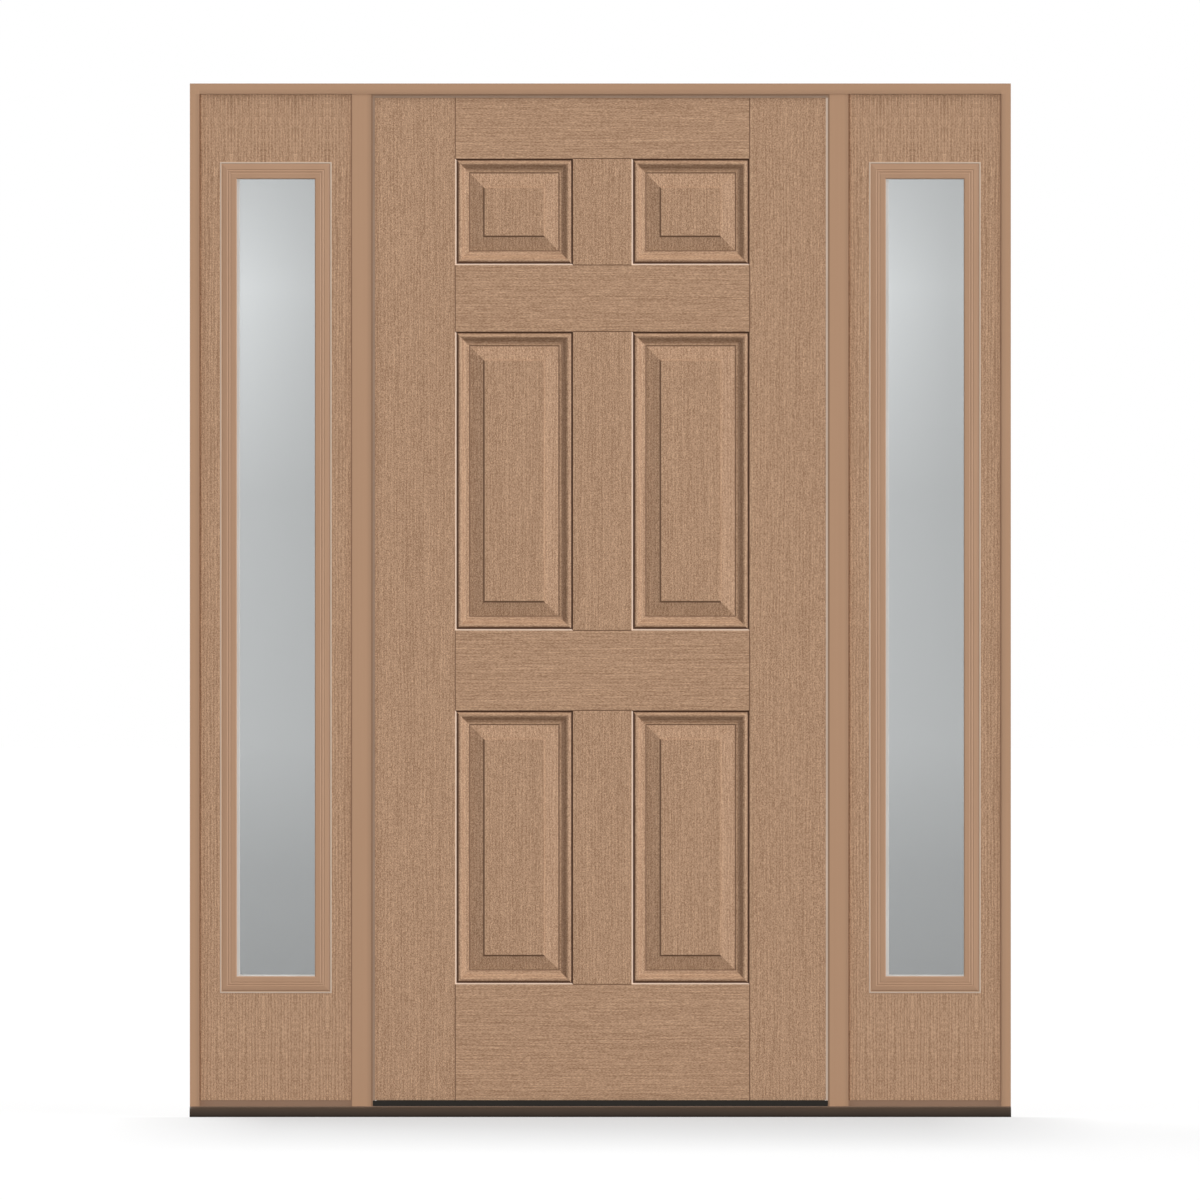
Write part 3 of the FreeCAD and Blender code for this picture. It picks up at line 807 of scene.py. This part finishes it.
def new_piece(name, shape, material, body):
    """A finished mesh that moves with a body of the model."""
    mesh = bpy.data.meshes.new(name)
    bmesh.ops.recalc_face_normals(shape, faces=shape.faces)
    shape.to_mesh(mesh)
    shape.free()
    mesh.materials.append(material)
    piece = bpy.data.objects.new(name, mesh)
    bpy.context.scene.collection.objects.link(piece)
    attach(piece, body)


def bridge_loops(shape, loops, closed):
    """Faces between each loop of points and the next; a closed run also joins the last to the first."""
    rings = [[shape.verts.new(point) for point in loop] for loop in loops]
    pairs = list(zip(rings, rings[1:]))
    if closed:
        pairs.append((rings[-1], rings[0]))
    for first, second in pairs:
        count = len(first)
        for index in range(count):
            following = (index + 1) % count
            shape.faces.new((first[index], first[following], second[following], second[index]))
    return rings


def glazing_seal(name, lite_node, glass_y, outward, widths, material):
    """A soft strip between a lite frame and the glass, with its own width on each side."""
    low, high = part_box(lite_node)
    left, right, bottom, top = widths
    loops = []
    for share, height in SEAL_SECTION:
        y = glass_y + outward * height
        x0 = low.x + LITE_BORDER + share * left
        x1 = high.x - LITE_BORDER - share * right
        z0 = low.z + LITE_BORDER + share * bottom
        z1 = high.z - LITE_BORDER - share * top
        loops.append([(x0, y, z0), (x1, y, z0), (x1, y, z1), (x0, y, z1)])
    shape = bmesh.new()
    bridge_loops(shape, loops, closed=True)
    new_piece(name, shape, material, "frame")


def make_glazing_seals():
    """A seal outside and inside the glass of each sidelight."""
    material = soft_material("glazing_seal_grey", GLAZING_GREY, GLAZING_SPECKLE, roughness=0.6)
    for side in SIDES:
        glass_low, glass_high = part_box(side + "_glass_panes")
        outside = side + "_lite_frame_outside"
        inside = side + "_lite_frame_inside"
        glazing_seal(side + "_glazing_seal_outside", outside, glass_low.y, -1, OUTSIDE_SEAL_WIDTHS, material)
        glazing_seal(side + "_glazing_seal_inside", inside, glass_high.y, 1, INSIDE_SEAL_WIDTHS, material)


def turned_loop(centre, normal, count, radius, height, waist=None):
    """A ring of points round an axis; a waist draws in all points but the arms' ends, for a cross recess."""
    up = Vector((0, 0, 1))
    side = normal.cross(up)
    points = []
    for index in range(count):
        angle = 2 * math.pi * index / count
        at_arm = index % (count // RECESS_ARMS) == 0
        reach = radius if waist is None or at_arm else waist
        points.append(centre + normal * height + (side * math.cos(angle) + up * math.sin(angle)) * reach)
    return points


def add_turned(shape, centre, normal, profile, count):
    """A closed form round an axis, from the rows of its profile."""
    loops = [turned_loop(centre, normal, count, *row) for row in profile]
    rings = bridge_loops(shape, loops, closed=False)
    shape.faces.new(rings[0])
    shape.faces.new(rings[-1])


def make_hinge_screws(material):
    """Four screws with a cross recess in each plate, staggered as on a butt hinge."""
    faces = {
        "frame": (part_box("right_mullion")[0].x, Vector((-1, 0, 0))),
        "door": (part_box("door_outside_skin")[1].x, Vector((1, 0, 0))),
    }
    for hinge in ("top", "middle", "bottom"):
        for body, (face_x, normal) in faces.items():
            node = "hinge_" + hinge + "_" + body + "_half"
            low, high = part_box(node)
            middle_z = (low.z + high.z) / 2
            shape = bmesh.new()
            for rise, reach in SCREW_PLACES:
                centre = Vector((face_x, low.y + reach, middle_z + rise))
                add_turned(shape, centre, normal, SCREW_PROFILE, SCREW_SIDES)
            new_piece("hinge_" + hinge + "_" + body + "_screws", shape, material, body)


def make_lite_plugs(material):
    """Shallow plugs over the screws that draw the inside lite frames up to the outside ones."""
    normal = Vector((0, 1, 0))
    for side in SIDES:
        low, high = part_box(side + "_lite_frame_inside")
        middle_x = (low.x + high.x) / 2
        places = [(middle_x, low.z + PLUG_INSET), (middle_x, high.z - PLUG_INSET)]
        for index in range(PLUG_ROWS):
            z = low.z + (high.z - low.z) * (index + 0.5) / PLUG_ROWS
            places += [(low.x + PLUG_INSET, z), (high.x - PLUG_INSET, z)]
        shape = bmesh.new()
        for x, z in places:
            add_turned(shape, Vector((x, high.y - PLUG_SINK, z)), normal, PLUG_PROFILE, PLUG_SIDES)
        new_piece(side + "_lite_frame_plugs", shape, material, "frame")


def stage_quad(name, corners, material):
    mesh = bpy.data.meshes.new(name)
    mesh.from_pydata(corners, [], [(0, 1, 2, 3)])
    mesh.materials.append(material)
    quad = bpy.data.objects.new(name, mesh)
    bpy.context.scene.collection.objects.link(quad)
    return quad


def seen_rays(graph):
    """1 for rays that show the background: seen directly, in a reflection or through glass."""
    path = graph.node("ShaderNodeLightPath")
    names = ("Is Camera Ray", "Is Glossy Ray", "Is Transmission Ray")
    return graph.largest([path.outputs[name] for name in names])


def glow_with_painted_shadow(graph):
    """The floor's glow, softly lower close in front of the sill as a painted shadow."""
    x, y, _ = graph.place()
    in_front = graph.math("DIVIDE", graph.math("SUBTRACT", cad_low.y, y), CONTACT_REACH, clamp=True)
    past_end = graph.math("SUBTRACT", graph.math("ABSOLUTE", x), cad_high.x - CONTACT_SIDE / 2)
    aside = graph.math("DIVIDE", past_end, CONTACT_SIDE, clamp=True)
    near = graph.math("MULTIPLY", graph.math("SUBTRACT", 1.0, in_front), graph.math("SUBTRACT", 1.0, aside))
    before = graph.math("LESS_THAN", y, cad_low.y)
    # Painted shadow on the floor in front of the sill
    painted_shadow = graph.math("MULTIPLY", graph.math("MULTIPLY", near, before), CONTACT_SHADE)
    return graph.math("SUBTRACT", FLOOR_GLOW, painted_shadow)


def make_floor():
    """A pale floor that reads white, keeps the soft shadow, and has a painted shadow in front of the sill."""
    material, graph = new_material("floor_pale")
    matt = graph.node("ShaderNodeBsdfDiffuse", {"Color": rgba(shade(WHITE, FLOOR_GREY))})
    glow_strength = graph.math("MULTIPLY", seen_rays(graph), glow_with_painted_shadow(graph))
    glow = graph.node("ShaderNodeEmission", {"Strength": glow_strength})
    both = graph.node("ShaderNodeAddShader")
    graph.feed(both.inputs[0], matt.outputs[0])
    graph.feed(both.inputs[1], glow.outputs[0])
    graph.surface(both.outputs[0])
    half = FLOOR_SIZE / 2
    z = cad_low.z - FLOOR_DROP
    corners = [(-half, -half, z), (half, -half, z), (half, half, z), (-half, half, z)]
    stage_quad("floor", corners, material)


def across_lite(graph, x):
    """0 at the right edge of each lite's glass and 1 at its left edge."""
    low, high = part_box("right_lite_frame_outside")
    centre = graph.math("MULTIPLY", graph.math("SIGN", x), (low.x + high.x) / 2)
    glass_width = high.x - low.x - 2 * LITE_BORDER
    aside = graph.math("DIVIDE", graph.math("SUBTRACT", centre, x), glass_width)
    return graph.math("ADD", aside, 0.5, clamp=True)


def card_colour(graph):
    """Grey, lighter above and to the left of each lite, that fades to white at the floor and the sides."""
    x, _, z = graph.place()
    height = graph.math("DIVIDE", z, CARD_HEIGHT)
    edges = []
    for tones in (CARD_RIGHT_TONES, CARD_LEFT_TONES):
        edges.append(graph.ramp(height, [(place, shade(CARD_COOL, tone)) for place, tone in tones]))
    above_floor = graph.math("DIVIDE", z, CARD_FOOT, clamp=True)
    side_distance = graph.math("SUBTRACT", CARD_WIDTH / 2, graph.math("ABSOLUTE", x))
    from_side = graph.math("DIVIDE", side_distance, CARD_SIDE, clamp=True)
    grey = graph.math("MULTIPLY", above_floor, from_side)
    return graph.tint(grey, WHITE, graph.tint(across_lite(graph, x), *edges))


def make_card():
    """A card well behind the glass that glows, seen only through it, painting the glass's tones."""
    material, graph = new_material("card_grey")
    graph.surface(graph.node("ShaderNodeEmission", {"Color": card_colour(graph)}).outputs[0])
    half = CARD_WIDTH / 2
    back = cad_high.y + CARD_BEHIND
    corners = [(-half, back, 0.0), (half, back, 0.0), (half, back, CARD_HEIGHT), (-half, back, CARD_HEIGHT)]
    card = stage_quad("card", corners, material)
    card.visible_camera = False
    card.visible_diffuse = False
    card.visible_glossy = False
    card.visible_shadow = False


def make_world():
    """White where it is seen, and a plain soft level where it lights."""
    world = bpy.data.worlds.new("studio")
    world.use_nodes = True
    graph = Graph(world.node_tree)
    strength = graph.blend(seen_rays(graph), AMBIENT, 1.0)
    background = graph.node("ShaderNodeBackground", {"Color": rgba(WHITE), "Strength": strength})
    graph.node("ShaderNodeOutputWorld", {"Surface": background.outputs[0]})
    bpy.context.scene.world = world


def add_sun(name, direction, strength, angle, shadows=True):
    light = bpy.data.lights.new(name, "SUN")
    light.energy = strength
    light.angle = angle
    light.use_shadow = shadows
    lamp = bpy.data.objects.new(name, light)
    lamp.rotation_mode = "QUATERNION"
    lamp.rotation_quaternion = Vector(direction).to_track_quat("Z", "Y")
    bpy.context.scene.collection.objects.link(lamp)


def make_camera():
    """Straight on, far enough back that upright lines stay parallel, as in the photograph."""
    data = bpy.data.cameras.new("camera")
    data.lens = CAMERA_LENS
    data.sensor_width = CAMERA_SENSOR
    data.clip_end = 2 * FLOOR_SIZE
    camera = bpy.data.objects.new("camera", data)
    distance = PHOTO_SCALE * PHOTO_PIXELS * CAMERA_LENS / CAMERA_SENSOR
    camera.location = (CAMERA_X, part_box("left_jamb")[0].y - distance, CAMERA_Z)
    camera.rotation_euler = (math.pi / 2, 0.0, 0.0)
    bpy.context.scene.collection.objects.link(camera)
    bpy.context.scene.camera = camera


materials = slot_materials()
finish_cad_nodes(materials)
make_glazing_seals()
make_hinge_screws(materials["hinge_steel"])
make_lite_plugs(paint_material("lite_plug_paint", LITE_TAN))
make_floor()
make_card()
make_world()
add_sun("key", KEY_DIRECTION, KEY_STRENGTH, KEY_ANGLE)
add_sun("fill", FILL_DIRECTION, FILL_STRENGTH, KEY_ANGLE, shadows=False)
add_sun("back_fill", BACK_DIRECTION, BACK_STRENGTH, BACK_ANGLE)
make_camera()
bpy.context.scene.view_settings.view_transform = "Standard"
